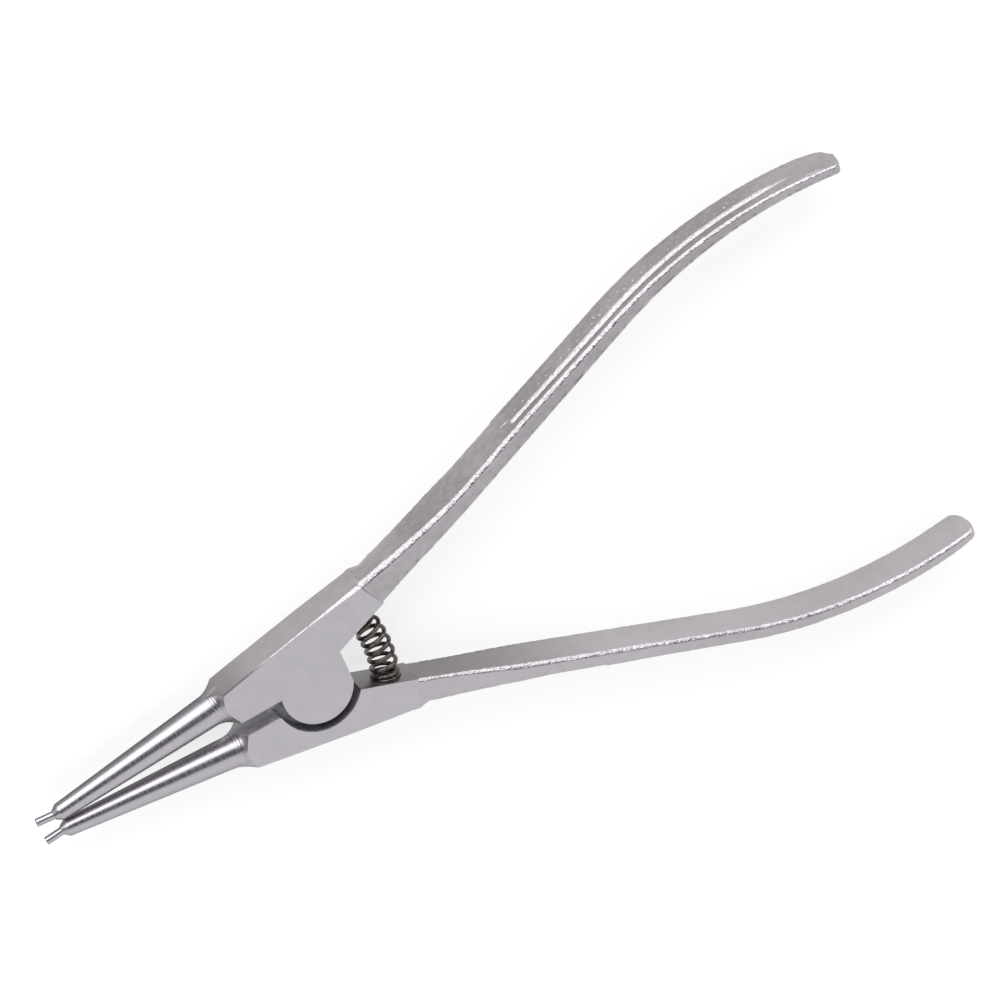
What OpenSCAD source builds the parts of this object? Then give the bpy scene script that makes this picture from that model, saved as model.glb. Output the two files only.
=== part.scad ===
// Straight-nose external circlip pliers. Two forged levers lie side by side and don't cross. A round lap
// joint and a flush rivet join them, and a curved coil spring pushes the handles apart and closes the tips.
// X runs from the tips (minus) to the handle ends (plus), and Z goes up through the thickness of the joint.
// The origin is on the pivot axis, at the underside of the joint block. The two levers are the same forging:
// the rear one is the front one turned half a turn about the length of the pliers.

/* [Joint block] */
// Thickness of the joint block over both laps
block_thk = 8.2; // [7:0.1:10]
// Distance from the pivot to the nose end of the block
nose_x = 16; // [14:0.1:19]
// Half width of the closed block at its nose end
nose_half = 7.95; // [7.4:0.05:8.6]
// Distance from the pivot to the handle end of the block's outer edge
end_x = 14.3; // [13:0.1:16]
// Half width of the closed block at its handle end
end_half = 13.7; // [12.6:0.1:15]
// Distance from the pivot to the handle end of the block's inner wall
wall_x = 17.2; // [16:0.1:19]
// Slope of the block's inner wall to the axis, in degrees
wall_angle = 20.8; // [18:0.1:24]
// Gap between the two inner jaw faces with the tips closed
jaw_gap = 2.7; // [2:0.1:3.4]
// Width of the chamfer on the block's outer edges at the nose end
chamfer_nose = 0.1; // [0.05:0.05:0.4]
// Width of the chamfer on the block's outer edges at the handle end
chamfer_end = 0.7; // [0.4:0.05:0.9]

/* [Lap joint] */
// Radius of the round lug on each lever
lug_r = 6.75; // [6:0.05:7.4]
// Radial room between a lug and the recess that it turns in
lug_gap = 1.4; // [0.8:0.1:1.8]
// Distance from the pivot to the flat on the handle side of the lug
neck_flat = 6.4; // [5.6:0.1:6.7]
// Height above the axis at which that flat meets the inner wall
neck_rise = 4.2; // [3.6:0.1:5]
// Radius of the corner between jaw face and recess
jaw_corner_r = 0.6; // [0.3:0.1:1]
// Sliding clearance between the faces of the two lugs
lap_clearance = 0.04; // [0.02:0.01:0.1]

/* [Pivot rivet] */
// Diameter of the rivet shank
rivet_d = 4; // [3:0.1:5]
// Diameter of the countersunk rivet heads, ground flush with the block
rivet_head_d = 6; // [5.4:0.1:7.5]
// Radial running clearance of the rivet in the front lever
rivet_clearance = 0.03; // [0.01:0.01:0.08]

/* [Turned nose] */
// Length of the turned cone from the nose end of the block
cone_len = 34.1; // [28:0.1:42]
// Diameter of the cone at its end
cone_end_d = 3.24; // [2.6:0.02:3.3]
// Slope of the cone's side to its own axis, in degrees
cone_taper = 2.5; // [1.8:0.1:2.8]
// Room that is left between the two closed cones at their ends
tip_clearance = 0.12; // [0.06:0.02:0.4]
// Height of the cone's axis above the axis of the pliers at the block
cone_rise = 4.86; // [4.6:0.02:5.2]
// Radius of the turned flare from cone to block
flare_r = 5; // [3.5:0.1:6]
// Distance in front of the block at which the flare runs into the cone
flare_run = 3.3; // [2.6:0.1:4]
// Depth of the chamfer round the end of the cone
cone_chamfer = 0.25; // [0.1:0.05:0.3]

/* [Tip pins] */
// Diameter of the pins that enter the holes of the ring
pin_d = 1.5; // [1:0.05:1.8]
// Length of a pin from the end of its cone
pin_len = 4.1; // [2.6:0.1:5]
// Outward lean of a pin from the axis of the pliers, in degrees
pin_splay = 5; // [0:0.5:8]
// Radius of the fillet at the root of a pin
pin_fillet = 0.45; // [0.2:0.05:0.6]
// Depth of the chamfer at the end of a pin
pin_chamfer = 0.12; // [0.05:0.01:0.25]

/* [Handle path] */
// Step back from the block's inner wall to the handle's inner wall
wall_step = 0.15; // [0.05:0.05:0.4]
// Slope of the straight shank's inner wall to the axis, in degrees
handle_angle = 22.2; // [19:0.1:25]
// Length of the straight shank from the block
shank_len = 63.5; // [50:0.5:80]
// Radius of the bend of the grip, at its inner wall
bend_r = 96; // [80:1:120]
// Length of the bend along its inner wall
bend_len = 50.7; // [40:0.1:60]

/* [Handle section] */
// Thickness of the handle where it leaves the block
root_w = 4.4; // [4:0.1:5.4]
// Length of the curve that runs from the block's outer corner down to the outer wall of the handle
root_blend = 7; // [4:0.1:9]
// Thickness of the shank just before the grip
shank_w = 3.1; // [2.8:0.1:4.2]
// Thickness of the grip where it starts
grip_w = 3.75; // [3.3:0.05:4.6]
// Thickness of the grip near its end
end_w = 2.5; // [2.2:0.1:3.2]
// Height of the handle's inner wall where it leaves the block
root_h = 8; // [6:0.1:8.2]
// Distance from the block over which the handle grows to its full height
swell_len = 24; // [15:1:34]
// Height of the inner wall along the grip
grip_h = 10.2; // [9:0.1:11.5]
// Height of the inner wall near the end of the grip
end_h = 9.4; // [8:0.1:10]
// How much lower the outer wall is than the inner wall on the shank, in all
shank_draft = 1.8; // [0.8:0.1:2.6]
// How much lower the outer wall is than the inner wall on the grip, in all
grip_draft = 3.6; // [2.4:0.1:4.6]
// Width of the long bevel beside the outer wall of the grip
bevel_w = 0.7; // [0.4:0.05:1]
// Distance from the block at which the grip starts
grip_start = 35; // [28:0.5:44]
// Radius of the rounded long edges
edge_r = 0.5; // [0.3:0.05:0.8]
// Radius of the handle's round end, seen from the side
end_r = 5.4; // [5.2:0.1:7]
// Length over which the outer wall curves in to the end
end_taper = 6; // [3:0.1:9]
// Thickness of the handle at its very end
tip_w = 1.1; // [0.8:0.1:1.6]

/* [Return spring] */
// Diameter of the spring wire
wire_d = 0.75; // [0.6:0.05:0.8]
// Outside diameter of the coil
coil_d = 5.4; // [4.8:0.1:6]
// Number of turns, the closed end turns included
turns = 8; // [6:0.5:10]
// Depth of the round pocket that seats each end of the spring
pocket_depth = 1.2; // [0.8:0.1:1.6]
// Radial room round the spring in its pocket
pocket_clearance = 0.2; // [0.1:0.05:0.4]
// Distance from the pivot to the middle of the pocket, along the axis of the pliers
pocket_x = 12.6; // [11.6:0.1:13]

/* [Hidden] */
$fn = 96;
half_thk = block_thk / 2;
lap_half = lap_clearance / 2;
jaw_half = jaw_gap / 2;
recess_r = lug_r + lug_gap;
over = 1;

// Block corners. The blank runs a little past the nose end, where the turned flare cuts it back.
blank_short = 0.3;
blank_x = nose_x + flare_run - blank_short;
edge_slope = (end_half - nose_half) / (end_x + nose_x);
edge_len = (end_x + nose_x) * sqrt(1 + edge_slope * edge_slope);
end_corner = [end_x, end_half];
wall_end = [wall_x, neck_rise + (wall_x - neck_flat) * tan(wall_angle)];

// The cone leans in so that its end just clears the other one.
cone_end_r = cone_end_d / 2;
cone_end_y = cone_end_r + tip_clearance / 2;
cone_angle = asin((cone_rise - cone_end_y) / cone_len);
cone_end = [-nose_x - cone_len * cos(cone_angle), cone_end_y];
cone_root = 4;
flare_inside = 0.03;
pin_r = pin_d / 2;
pin_sink = 0.3;
foot_margin = 0.08;
foot_fillet = min(pin_fillet, cone_end_r - cone_chamfer - pin_r - foot_margin);

// Rivet heads are cones of 45 degrees.
rivet_r = rivet_d / 2;
head_r = rivet_head_d / 2;

// Spring line: an arc that leaves the floor of each pocket squarely.
coil_r = (coil_d - wire_d) / 2;
pocket_r = coil_d / 2 + pocket_clearance;
pocket_mouth = [pocket_x, neck_rise + (pocket_x - neck_flat) * tan(wall_angle)];
pocket_floor = pocket_mouth + pocket_depth * [-sin(wall_angle), cos(wall_angle)];
spring_arc_r = pocket_floor[1] / sin(wall_angle);
spring_arc_x = pocket_floor[0] - spring_arc_r * cos(wall_angle);
spring_len = 2 * wall_angle * PI / 180 * spring_arc_r;
seat_clearance = 0.03;
end_turns = 1;
end_turn_gap = 0.12;
closed_pitch = wire_d + end_turn_gap;
wire_steps = 20;
wire_sides = 8;

// Handle line, measured along the inner wall from the block, and the block's outer corner measured from it
handle_len = shank_len + bend_len;
along = [cos(handle_angle), sin(handle_angle)];
across = [-sin(handle_angle), cos(handle_angle)];
handle_root = wall_end + wall_step * across;
corner_s = (end_corner - handle_root) * along;
corner_inset = 0.1;
corner_w = (end_corner - handle_root) * across - corner_inset;
root_sink = 1.2;
step_len = 1.5;
last_sliver = 0.06;
end_run = end_r / 2;

// Shares of the draft that the front face takes, and the steps of the rings and of a rounded edge
shank_crown = 0.7;
grip_crown = 0.2;
root_steps = 8;
shank_steps = 10;
grip_steps = 4;
straight_steps = 5;
bend_steps = 16;
end_steps = 6;
edge_steps = 4;

// How far s is from s0 to s1, from 0 to 1, and a straight or smooth change from a to b on the way
function share(s, s0, s1) = min(1, max(0, (s - s0) / (s1 - s0)));
function ramp(s, s0, s1, a, b) = a + (b - a) * share(s, s0, s1);
function ease(s, s0, s1, a, b) = let (t = share(s, s0, s1)) a + (b - a) * t * t * (3 - 2 * t);

// Heading of the handle line at s, and its point in plan
function heading(s) = handle_angle - max(0, s - shank_len) / bend_r * 180 / PI;
function handle_point(s) =
    let (h = heading(s))
    handle_root + min(s, shank_len) * along
    + bend_r * [sin(handle_angle) - sin(h), cos(h) - cos(handle_angle)];

// Thickness of the handle: from the block's corner it curves down to a tapered shank, steps out at the grip
// and tapers again to an end that curves in.
function end_curve(s) = let (d = share(s, handle_len - end_taper, handle_len)) 1 - sqrt(1 - d * d);
function shank_at(s) = ramp(s, 0, grip_start, root_w, shank_w);
function grip_at(s) =
    ease(s, grip_start, grip_start + step_len, shank_w, grip_w)
    + ramp(s, grip_start, handle_len, 0, end_w - grip_w);
function handle_w(s) =
    s < grip_start
    ? shank_at(s) + ease(s, corner_s, corner_s + root_blend, corner_w - root_w, 0)
    : grip_at(s) - (end_w - tip_w) * end_curve(s);

// Half height of the inner wall, and how much lower the outer wall and the front edge of the bevel are
function body_h(s) =
    ease(s, 0, swell_len, root_h, grip_h) + ramp(s, shank_len, handle_len, 0, end_h - grip_h);
function round_end(s, h) = let (d = max(0, s - handle_len + end_r)) min(1, sqrt(end_r * end_r - d * d) / h);
function half_h(s) = let (h = body_h(s) / 2) h * round_end(s, h);
function on_grip(s, a, b) = ease(s, grip_start, grip_start + step_len, a, b);
function draft(s) = on_grip(s, shank_draft, grip_draft) / body_h(s);
function crown(s) = on_grip(s, shank_crown * shank_draft, grip_crown * grip_draft) / body_h(s);

// One section: the upper half as [distance from the inner wall, height], and the lower half mirrored
function half_section(s) =
    let (w = handle_w(s), h = half_h(s), r = min(edge_r, h / 3), b = min(bevel_w, w / 3))
    concat(
        [for (k = [0:edge_steps]) let (a = 90 * k / edge_steps) [r * (1 - cos(a)), h - r * (1 - sin(a))]],
        [[w - b, h * (1 - crown(s))], [w, h * (1 - draft(s))]]
    );
function mirrored(half) = [for (i = [len(half) - 1:-1:0]) [half[i][0], -half[i][1]]];
function section(s) = let (half = half_section(s)) concat(half, mirrored(half));
function placed(s) =
    let (p = handle_point(s), h = heading(s))
    [for (q = section(s)) [p[0] - q[0] * sin(h), p[1] + q[0] * cos(h), q[1]]];

// Places of the rings: even steps from a to b, a left out, and closer ones towards the round end
function steps(a, b, n) = [for (i = [1:n]) ramp(i, 0, n, a, b)];
handle_stations = concat(
    [-root_sink],
    steps(-root_sink, root_blend, root_steps),
    steps(root_blend, grip_start, shank_steps),
    steps(grip_start, grip_start + step_len, grip_steps),
    steps(grip_start + step_len, shank_len, straight_steps),
    steps(shank_len, handle_len - end_run, bend_steps),
    [for (i = [1:end_steps]) handle_len - last_sliver - end_run * pow(1 - i / end_steps, 2)]
);

// Skin over a list of rings that all have the same number of points
module skin(rings) {
    n = len(rings[0]);
    last = len(rings) - 1;
    sides = [for (i = [0:last - 1], j = [0:n - 1], t = [0, 1])
        let (a = i * n + j, b = i * n + (j + 1) % n)
        t == 0 ? [a, b, b + n] : [a, b + n, a + n]];
    caps = [[for (j = [n - 1:-1:0]) j], [for (j = [0:n - 1]) last * n + j]];
    polyhedron([for (r = rings) each r], concat(sides, caps));
}

// Plan of the block on its own side of the axis, with the jaw face, neck flat, inner wall and end
module block_plan()
    polygon([
        [-blank_x, jaw_half],
        [neck_flat, jaw_half],
        [neck_flat, neck_rise],
        wall_end,
        end_corner,
        [-blank_x, nose_half - (blank_x - nose_x) * edge_slope]
    ]);

// The sliver to take off so that the corner between jaw face and recess is round
module corner_sliver() {
    y = jaw_half + jaw_corner_r;
    middle = [-sqrt(pow(recess_r + jaw_corner_r, 2) - y * y), y];
    corner = [-sqrt(recess_r * recess_r - jaw_half * jaw_half), jaw_half];
    difference() {
        polygon([corner, [middle[0], jaw_half], middle, middle * recess_r / (recess_r + jaw_corner_r)]);
        translate(middle) circle(jaw_corner_r);
    }
}

// Half of the block that carries the lug, with the flat on the lug's handle side
module lug_half()
    translate([0, 0, lap_half])
        linear_extrude(half_thk - lap_half)
            union() {
                block_plan();
                difference() {
                    circle(lug_r);
                    translate([neck_flat, -lug_r]) square(2 * lug_r);
                }
            }

// Half of the block that is cut away round the other lever's lug
module recess_half()
    translate([0, 0, -half_thk])
        linear_extrude(half_thk + lap_half)
            difference() {
                block_plan();
                circle(recess_r);
                corner_sliver();
            }

// Chamfers on both outer edges of the block, thin at the nose and wider towards the handle
module edge_chamfers() {
    widen = atan((chamfer_end - chamfer_nose) / sqrt(2) / edge_len);
    reach = edge_len + flare_run + over;
    for (side = [0, 1])
        mirror([0, 0, side])
            translate([end_corner[0], end_corner[1], half_thk])
                rotate([0, 0, atan(edge_slope)])
                    rotate([-45, 0, 0])
                        translate([0, 0, -chamfer_end / sqrt(2)])
                            rotate([0, widen, 0])
                                translate([-reach, -half_thk, 0])
                                    cube([reach + over, block_thk, half_thk]);
}

// Places children at the nose end of the block, with their Z along the cone
module on_cone()
    translate([-nose_x, cone_rise, 0]) rotate([0, 0, 180 + cone_angle]) rotate([0, 90, 0]) children();

function cone_r(a) = cone_end_r + (cone_len - a) * tan(cone_taper);

// The turned flare takes the corners off the nose end of the block
module flare_cut()
    on_cone()
        translate([0, 0, flare_run])
            rotate_extrude() translate([cone_r(flare_run) - flare_inside + flare_r, 0]) circle(flare_r);

module cone()
    on_cone()
        rotate_extrude()
            polygon([
                [0, -cone_root],
                [cone_r(-cone_root), -cone_root],
                [cone_r(cone_len - cone_chamfer), cone_len - cone_chamfer],
                [cone_end_r - cone_chamfer, cone_len],
                [0, cone_len]
            ]);

// Pin with a filleted root, sunk a little into the end of the cone
module tip_pin()
    translate([cone_end[0], cone_end[1], 0])
        rotate([0, 0, 180 - pin_splay])
            rotate([0, 90, 0]) {
                rotate_extrude()
                    polygon([
                        [0, -pin_sink],
                        [pin_r, -pin_sink],
                        [pin_r, pin_len - pin_chamfer],
                        [pin_r - pin_chamfer, pin_len],
                        [0, pin_len]
                    ]);
                rotate_extrude()
                    difference() {
                        translate([0, -pin_sink]) square([pin_r + foot_fillet, foot_fillet + pin_sink]);
                        translate([pin_r + foot_fillet, foot_fillet]) circle(foot_fillet);
                    }
            }

// Blind pocket in the inner wall, square to it
module spring_pocket()
    translate([pocket_floor[0], pocket_floor[1], 0])
        rotate([0, 0, wall_angle - 90])
            rotate([0, 90, 0])
                cylinder(r = pocket_r, h = pocket_depth + over);

// Rivet outline, and with a clearance the hole for it
module rivet_shape(clearance, past)
    rotate_extrude()
        polygon([
            [0, -half_thk - past],
            [head_r + clearance + past, -half_thk - past],
            [rivet_r + clearance, -half_thk + head_r - rivet_r],
            [rivet_r + clearance, half_thk - head_r + rivet_r],
            [head_r + clearance + past, half_thk + past],
            [0, half_thk + past]
        ]);

// One lever about the middle plane of the joint, lug on top
module lever(clearance)
    difference() {
        union() {
            difference() {
                union() {
                    lug_half();
                    recess_half();
                }
                edge_chamfers();
                flare_cut();
            }
            cone();
            tip_pin();
            skin([for (s = handle_stations) placed(s)]);
        }
        spring_pocket();
        rivet_shape(clearance, over);
    }

// The lever whose lug shows on the upper face
module front_lever()
    color([0.74, 0.74, 0.75])
        translate([0, 0, half_thk]) lever(rivet_clearance);

// The same forging turned over, which holds the rivet
module rear_lever()
    color([0.7, 0.7, 0.71])
        translate([0, 0, half_thk]) rotate([180, 0, 0]) lever(0);

// Rivet with both heads closed into the countersinks and ground flush
module pivot_rivet()
    color([0.72, 0.72, 0.73])
        translate([0, 0, half_thk]) rivet_shape(0, 0);

// Distance along the spring line after a number of turns: closed end turns, and an even pitch between them
function coil_run(t) =
    let (first = wire_d / 2 + seat_clearance, open = spring_len - 2 * (first + end_turns * closed_pitch))
    let (open_pitch = open / (turns - 2 * end_turns))
    first + closed_pitch * (min(t, end_turns) + max(0, t - turns + end_turns))
    + open_pitch * max(0, min(t, turns - end_turns) - end_turns);

// One ring of the wire round the coil at turn t: out is away from the spring line, up leans with the pitch
function wire_ring(t) =
    let (a = wall_angle - coil_run(t) / spring_arc_r * 180 / PI, c = 360 * t)
    let (radial = [cos(a), sin(a), 0], out = radial * cos(c) + [0, 0, sin(c)])
    let (up = [sin(a), -cos(a), 0])
    let (middle = [spring_arc_x, 0, half_thk] + radial * spring_arc_r + out * coil_r)
    [for (k = [0:wire_sides - 1])
        let (w = 360 * k / wire_sides)
        middle + wire_d / 2 * (out * cos(w) + up * sin(w))];

// Steel return spring, bowed away from the pivot
module return_spring()
    color([0.45, 0.44, 0.43])
        skin([for (i = [0:turns * wire_steps]) wire_ring(i / wire_steps)]);

front_lever();
rear_lever();
pivot_rivet();
return_spring();
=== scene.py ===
# %% [markdown]
# # Circlip pliers
# These pliers spread a retaining ring so that it slips over a shaft. Two forged levers lie side by
# side and meet in a round lap joint. They don't cross, so squeezing the handles parts the tips. A rivet
# holds the levers, and a small coil spring opens the handles again.
# The CAD frame gives the exact pieces and where they are. This lesson dresses them: each lever is
# shaped anew with its forged and turned details, and then plating, light and a camera are added.

# %% Load the frame
import math

import bmesh
import bpy
from mathutils import Matrix, Vector, noise


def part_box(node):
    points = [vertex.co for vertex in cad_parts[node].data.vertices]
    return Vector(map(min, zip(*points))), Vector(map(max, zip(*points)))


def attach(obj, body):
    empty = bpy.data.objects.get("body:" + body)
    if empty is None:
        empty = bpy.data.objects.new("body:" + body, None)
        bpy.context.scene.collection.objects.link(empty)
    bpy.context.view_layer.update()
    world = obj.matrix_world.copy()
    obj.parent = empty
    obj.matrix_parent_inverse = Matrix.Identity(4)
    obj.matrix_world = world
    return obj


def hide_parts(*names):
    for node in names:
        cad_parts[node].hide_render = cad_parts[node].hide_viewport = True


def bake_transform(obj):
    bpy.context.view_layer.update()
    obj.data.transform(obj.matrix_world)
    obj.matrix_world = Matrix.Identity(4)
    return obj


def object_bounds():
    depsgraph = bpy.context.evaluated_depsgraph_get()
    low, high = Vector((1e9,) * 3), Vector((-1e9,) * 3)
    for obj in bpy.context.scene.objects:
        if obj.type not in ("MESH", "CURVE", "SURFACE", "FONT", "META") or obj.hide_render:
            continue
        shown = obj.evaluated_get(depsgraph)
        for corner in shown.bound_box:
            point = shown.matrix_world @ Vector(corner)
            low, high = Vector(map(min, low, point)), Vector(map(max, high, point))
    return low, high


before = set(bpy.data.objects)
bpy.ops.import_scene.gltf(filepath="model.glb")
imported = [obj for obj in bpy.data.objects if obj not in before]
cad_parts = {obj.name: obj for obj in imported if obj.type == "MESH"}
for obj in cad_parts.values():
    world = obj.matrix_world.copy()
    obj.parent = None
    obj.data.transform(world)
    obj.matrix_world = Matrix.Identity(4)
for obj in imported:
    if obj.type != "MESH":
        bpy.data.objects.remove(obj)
cad_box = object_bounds()
MM = 0.001
rivet_low, rivet_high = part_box("pivot_rivet")
half_thk = (rivet_high[2] - rivet_low[2]) / 2 / MM
print("Pieces:", sorted(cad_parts), "and half the joint's thickness is", round(half_thk, 2), "mm")

# %% [markdown]
# ## Small helpers
# Steel parts start as simple blanks and are then cut and joined. The same happens here: a blank is a
# bmesh in millimetres, and a boolean cuts it or joins it to the next one. Millimetres keep the
# numbers readable, and only the finished piece is scaled down to metres.

# %% Blanks, cuts and joins
def piece(name, bm):
    """Make an object from a bmesh, with its faces turned outwards."""
    bmesh.ops.recalc_face_normals(bm, faces=bm.faces)
    mesh = bpy.data.meshes.new(name)
    bm.to_mesh(mesh)
    bm.free()
    obj = bpy.data.objects.new(name, mesh)
    bpy.context.scene.collection.objects.link(obj)
    return obj


def combine(body, tool, operation):
    """Join a tool to a body, or cut it out of the body. The tool is used up."""
    step = body.modifiers.new("step", "BOOLEAN")
    step.operation, step.solver, step.object = operation, "MANIFOLD", tool
    graph = bpy.context.evaluated_depsgraph_get()
    shaped = bpy.data.meshes.new_from_object(body.evaluated_get(graph))
    body.modifiers.clear()
    bpy.data.meshes.remove(tool.data)
    before, body.data = body.data, shaped
    bpy.data.meshes.remove(before)
    return body


def clamp01(x):
    """Keep a number between 0 and 1."""
    return max(0.0, min(1.0, x))


def ease(x, low, high, start, end):
    """Run smoothly from start to end while x goes from low to high."""
    t = clamp01((x - low) / (high - low))
    return start + (end - start) * t * t * (3 - 2 * t)


def ramp(x, low, high, start, end):
    """Run evenly from start to end while x goes from low to high."""
    return start + (end - start) * clamp01((x - low) / (high - low))


print("A quarter of the way along, an eased step stands at", ease(0.25, 0, 1, 0, 1))

# %% [markdown]
# ## The joint block
# The block in the middle of each lever is a flat forging, ground on its two faces. Half of its
# thickness carries a round lug, and the other half is cut away to take the lug of the other lever.
# The block could be carved from one box with a dozen cuts, but two flat halves are easier to follow. A
# polygon gives the plan of both. A cylinder is joined to the upper half as the lug, and a larger one is
# cut out of the lower half as the recess. The rims get a narrow bevel, because a ground edge always shows
# a thin line of light. Three planes slice the long outer edge, so that its chamfer grows towards the
# handle, and a few points of the plan round the corner at that end.

# %% Two halves of the block
nose_x, nose_half, end_x, end_half = 16.0, 7.95, 14.3, 13.7
wall_x, wall_angle = 17.2, math.radians(20.8)
jaw_half, jaw_corner_r, neck_flat, neck_rise = 1.35, 0.6, 6.4, 4.2
lug_r, recess_r, lap_half, rim_width = 6.75, 8.15, 0.02, 0.09
blank_x, overcut = nose_x + 3.0, 1.0
edge_slope = (end_half - nose_half) / (nose_x + end_x)
outwards = Vector((-edge_slope, 1, 0)).normalized()
wall_end = Vector((wall_x, neck_rise + (wall_x - neck_flat) * math.tan(wall_angle), 0))
end_corner = [(0.45, -0.97), (0.22, -0.4), (-0.1, -0.1), (-0.6, -0.6 * edge_slope)]
plan = [(-blank_x, jaw_half), (neck_flat, jaw_half), (neck_flat, neck_rise), wall_end[:2]]
plan += [(end_x + x, end_half + y) for x, y in end_corner]
plan.append((-blank_x, nose_half - (blank_x - nose_x) * edge_slope))


def prism(corners, low, high):
    """Raise a flat outline to a block between two heights."""
    bm = bmesh.new()
    face = bm.faces.new([bm.verts.new((x, y, low)) for x, y in corners])
    up = bmesh.ops.extrude_face_region(bm, geom=[face])["geom"]
    top = [g for g in up if isinstance(g, bmesh.types.BMVert)]
    bmesh.ops.translate(bm, vec=(0, 0, high - low), verts=top)
    return bm


def drum(radius, low, high, segments=160):
    """A plain cylinder on the pivot's axis."""
    bm = bmesh.new()
    bmesh.ops.create_cone(bm, cap_ends=True, segments=segments, radius1=radius, radius2=radius,
                          depth=high - low, matrix=Matrix.Translation((0, 0, (high + low) / 2)))
    return bm


def slice_off(bm, point, normal):
    """Cut away all that lies beyond a plane and close the cut."""
    geom = bm.verts[:] + bm.edges[:] + bm.faces[:]
    cut = bmesh.ops.bisect_plane(bm, geom=geom, plane_co=point, plane_no=normal, clear_outer=True)
    edges = [g for g in cut["geom_cut"] if isinstance(g, bmesh.types.BMEdge)]
    bmesh.ops.contextual_create(bm, geom=edges)


def edit(obj, change):
    """Open an object's mesh as a bmesh, change it and put it back."""
    bm = bmesh.new()
    bm.from_mesh(obj.data)
    change(bm)
    bmesh.ops.recalc_face_normals(bm, faces=bm.faces)
    bm.to_mesh(obj.data)
    bm.free()


def soften_rim(bm, side):
    """Bevel the rim of the ground face on one side, but not the block's long outer edge."""
    bmesh.ops.dissolve_limit(bm, angle_limit=0.002, verts=bm.verts, edges=bm.edges)
    rim = [e for e in bm.edges if len(e.link_faces) == 2
           and sorted(f.normal.z * side > 0.99 for f in e.link_faces) == [False, True]
           and all(f.normal.dot(outwards) < 0.99 for f in e.link_faces)]
    bmesh.ops.bevel(bm, geom=rim, offset=rim_width, affect="EDGES", segments=2, profile=0.5, material=-1)


outer_cuts = ((0.07, 0.2, 1.0), (-0.7, 0.62, 1.0), (0.16, -0.13, 2.4))


def chamfer_outer(bm, side):
    """Slice the long outer edge off: a hair line along all of it, a wider cut from the middle on, which
    grows towards the handle, and a flat shallow one that fades out from the nose to the middle.

    A cut is its depth at the nose, its depth at the handle and how many times wider than deep it is."""
    for at_nose, at_end, lean in outer_cuts:
        a = Vector((-nose_x, nose_half, side * (half_thk - at_nose)))
        b = Vector((end_x, end_half, side * (half_thk - at_end)))
        c = Vector((-nose_x, nose_half - lean * at_nose, side * half_thk))
        normal = (b - a).cross(c - a)
        slice_off(bm, a, normal if normal.y > 0 else -normal)


def corner_sliver():
    """The sliver to cut away so that the corner between jaw face and recess is round."""
    r, outside = jaw_corner_r, jaw_half - 0.4
    middle = Vector((-math.sqrt((recess_r + r) ** 2 - (jaw_half + r) ** 2), jaw_half + r))
    inward = math.atan2(-middle.y, -middle.x)
    turns = [-math.pi / 2 + (inward + math.pi / 2) * i / 12 for i in range(13)]
    arc = [(middle.x + r * math.cos(a), middle.y + r * math.sin(a)) for a in turns]
    last_x, last_y = arc[-1]
    corners = [(middle.x, outside), *arc, (last_x + 0.3, last_y - 0.05), (middle.x + 1.5, outside)]
    return prism(corners, -half_thk - overcut, lap_half)


def ease_edges(bm, side):
    soften_rim(bm, side)
    chamfer_outer(bm, side)


def make_block(name):
    """The upper half with the lug, joined to the lower half with the recess."""
    lug_bm = drum(lug_r, lap_half, half_thk)
    slice_off(lug_bm, (neck_flat, 0, 0), (1, 0, 0))
    upper = combine(piece("upper", prism(plan, lap_half, half_thk)), piece("lug", lug_bm), "UNION")
    lower = combine(piece("lower", prism(plan, -half_thk, lap_half)),
                    piece("recess", drum(recess_r, -half_thk - overcut, overcut)), "DIFFERENCE")
    combine(lower, piece("corner", corner_sliver()), "DIFFERENCE")
    edit(upper, lambda bm: ease_edges(bm, 1))
    edit(lower, lambda bm: ease_edges(bm, -1))
    block = combine(upper, lower, "UNION")
    block.name = name
    return block


block = make_block("front_lever_steel")
print("Block:", len(block.data.vertices), "vertices, size", [round(x, 2) for x in block.dimensions])

# %% [markdown]
# ## The turned nose
# In front of the block each jaw is turned on a lathe: a hollow flare, a slim cone and a thin pin
# that enters the ring's eye. A lathe part is a profile spun round an axis. The flare is cut from the
# block by a spun circle, and the cone and its pin are two spun outlines, because the pin is splayed a
# little from the cone's axis. Three shallow grooves near the foot and one ring near the end are the
# marks which the lathe tool left.

# %% Cone, pin and flare
cone_rise, cone_len, cone_end_r, cone_taper = 4.86, 34.1, 1.62, math.radians(2.5)
flare_r, flare_run, pin_r, pin_len, pin_splay = 5.0, 3.3, 0.75, 4.1, math.radians(5)
tool_marks, end_ring = (0.75, 1.2, 1.75), cone_len - 2.2
shoulder = cone_len - 0.4
tip_y = cone_end_r + 0.06
cone_lean = math.asin((cone_rise - tip_y) / cone_len)
nose_axis = Matrix.Translation((-nose_x, cone_rise, 0)) @ Matrix.Rotation(math.pi + cone_lean, 4, "Z")


def cone_r(a):
    """The cone's radius at some distance along its axis."""
    return cone_end_r + (cone_len - a) * math.tan(cone_taper)


def lathe(outline, steps=80):
    """Spin an outline of (along, radius) points round the X axis."""
    bm = bmesh.new()
    chain = [bm.verts.new((a, r, 0)) for a, r in outline]
    edges = [bm.edges.new(pair) for pair in zip(chain, chain[1:])]
    bmesh.ops.spin(bm, geom=chain + edges, cent=(0, 0, 0), axis=(1, 0, 0), angle=math.tau,
                   steps=steps, use_merge=True)
    bmesh.ops.remove_doubles(bm, verts=bm.verts, dist=1e-5)
    return bm


def groove(a, at, width, depth):
    """Depth of a round-bottomed groove at some distance along the axis."""
    return depth * math.exp(-((a - at) / width) ** 2)


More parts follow.
